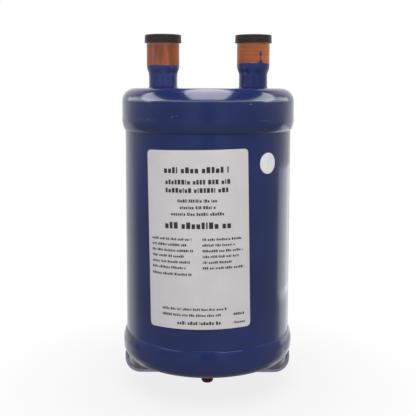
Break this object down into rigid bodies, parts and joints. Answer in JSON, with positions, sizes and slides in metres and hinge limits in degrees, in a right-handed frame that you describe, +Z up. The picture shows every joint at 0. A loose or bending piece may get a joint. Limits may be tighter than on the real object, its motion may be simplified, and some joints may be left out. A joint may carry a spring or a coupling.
{
  "type": "suction line accumulator",
  "caption": "Upright welded steel refrigerant accumulator with belled copper solder connections on top, a pick-up tube inside and a strap foot with a mounting bolt.",
  "frame": {"origin": "on the vessel's axis, at the underside of the foot strap", "axes": "+Z up along the vessel's axis, +X from the inlet towards the outlet, the label faces -Y"},
  "size_m": [0.1358, 0.1358, 0.2808],
  "materials": {
    "blue_enamel": "gloss dark blue enamel on steel",
    "copper": "drawn copper, dull and lightly oxidised",
    "bare_steel": "bare cold rolled steel",
    "zinc_plate": "bright zinc plate",
    "label_film": "silver-grey polyester film, satin",
    "silver_foil": "silver foil",
    "black_polyethylene": "moulded black polyethylene",
    "red_vinyl": "dip moulded dark red vinyl"
  },
  "bodies": {
    "vessel": {"shell": "blue_enamel", "top_cap": "blue_enamel", "bottom_cap": "blue_enamel", "top_weld_bead": "blue_enamel", "bottom_weld_bead": "blue_enamel", "inlet_stub": "copper", "outlet_stub": "copper", "inlet_braze_ring": "blue_enamel", "outlet_braze_ring": "blue_enamel", "inlet_deflector": "bare_steel", "u_tube": "copper", "oil_strainer": "zinc_plate", "tube_brace": "bare_steel", "foot_strap": "blue_enamel", "foot_weld_left": "blue_enamel", "foot_weld_right": "blue_enamel", "mounting_bolt": "zinc_plate", "rating_label": "label_film", "round_sticker": "silver_foil"},
    "inlet_cap": {"inlet_dust_cap": "black_polyethylene"},
    "outlet_cap": {"outlet_dust_cap": "black_polyethylene"},
    "thread_cap": {"bolt_thread_cap": "red_vinyl"}
  },
  "joints": [
    {"name": "inlet_cap_pull", "type": "slide", "parent": "vessel", "child": "inlet_cap", "axis": [0, 0, 1], "range_m": [0, 0.08]},
    {"name": "outlet_cap_pull", "type": "slide", "parent": "vessel", "child": "outlet_cap", "axis": [0, 0, 1], "range_m": [0, 0.08]},
    {"name": "thread_cap_pull", "type": "slide", "parent": "vessel", "child": "thread_cap", "axis": [0, 0, -1], "range_m": [0, 0.03]}
  ]
}
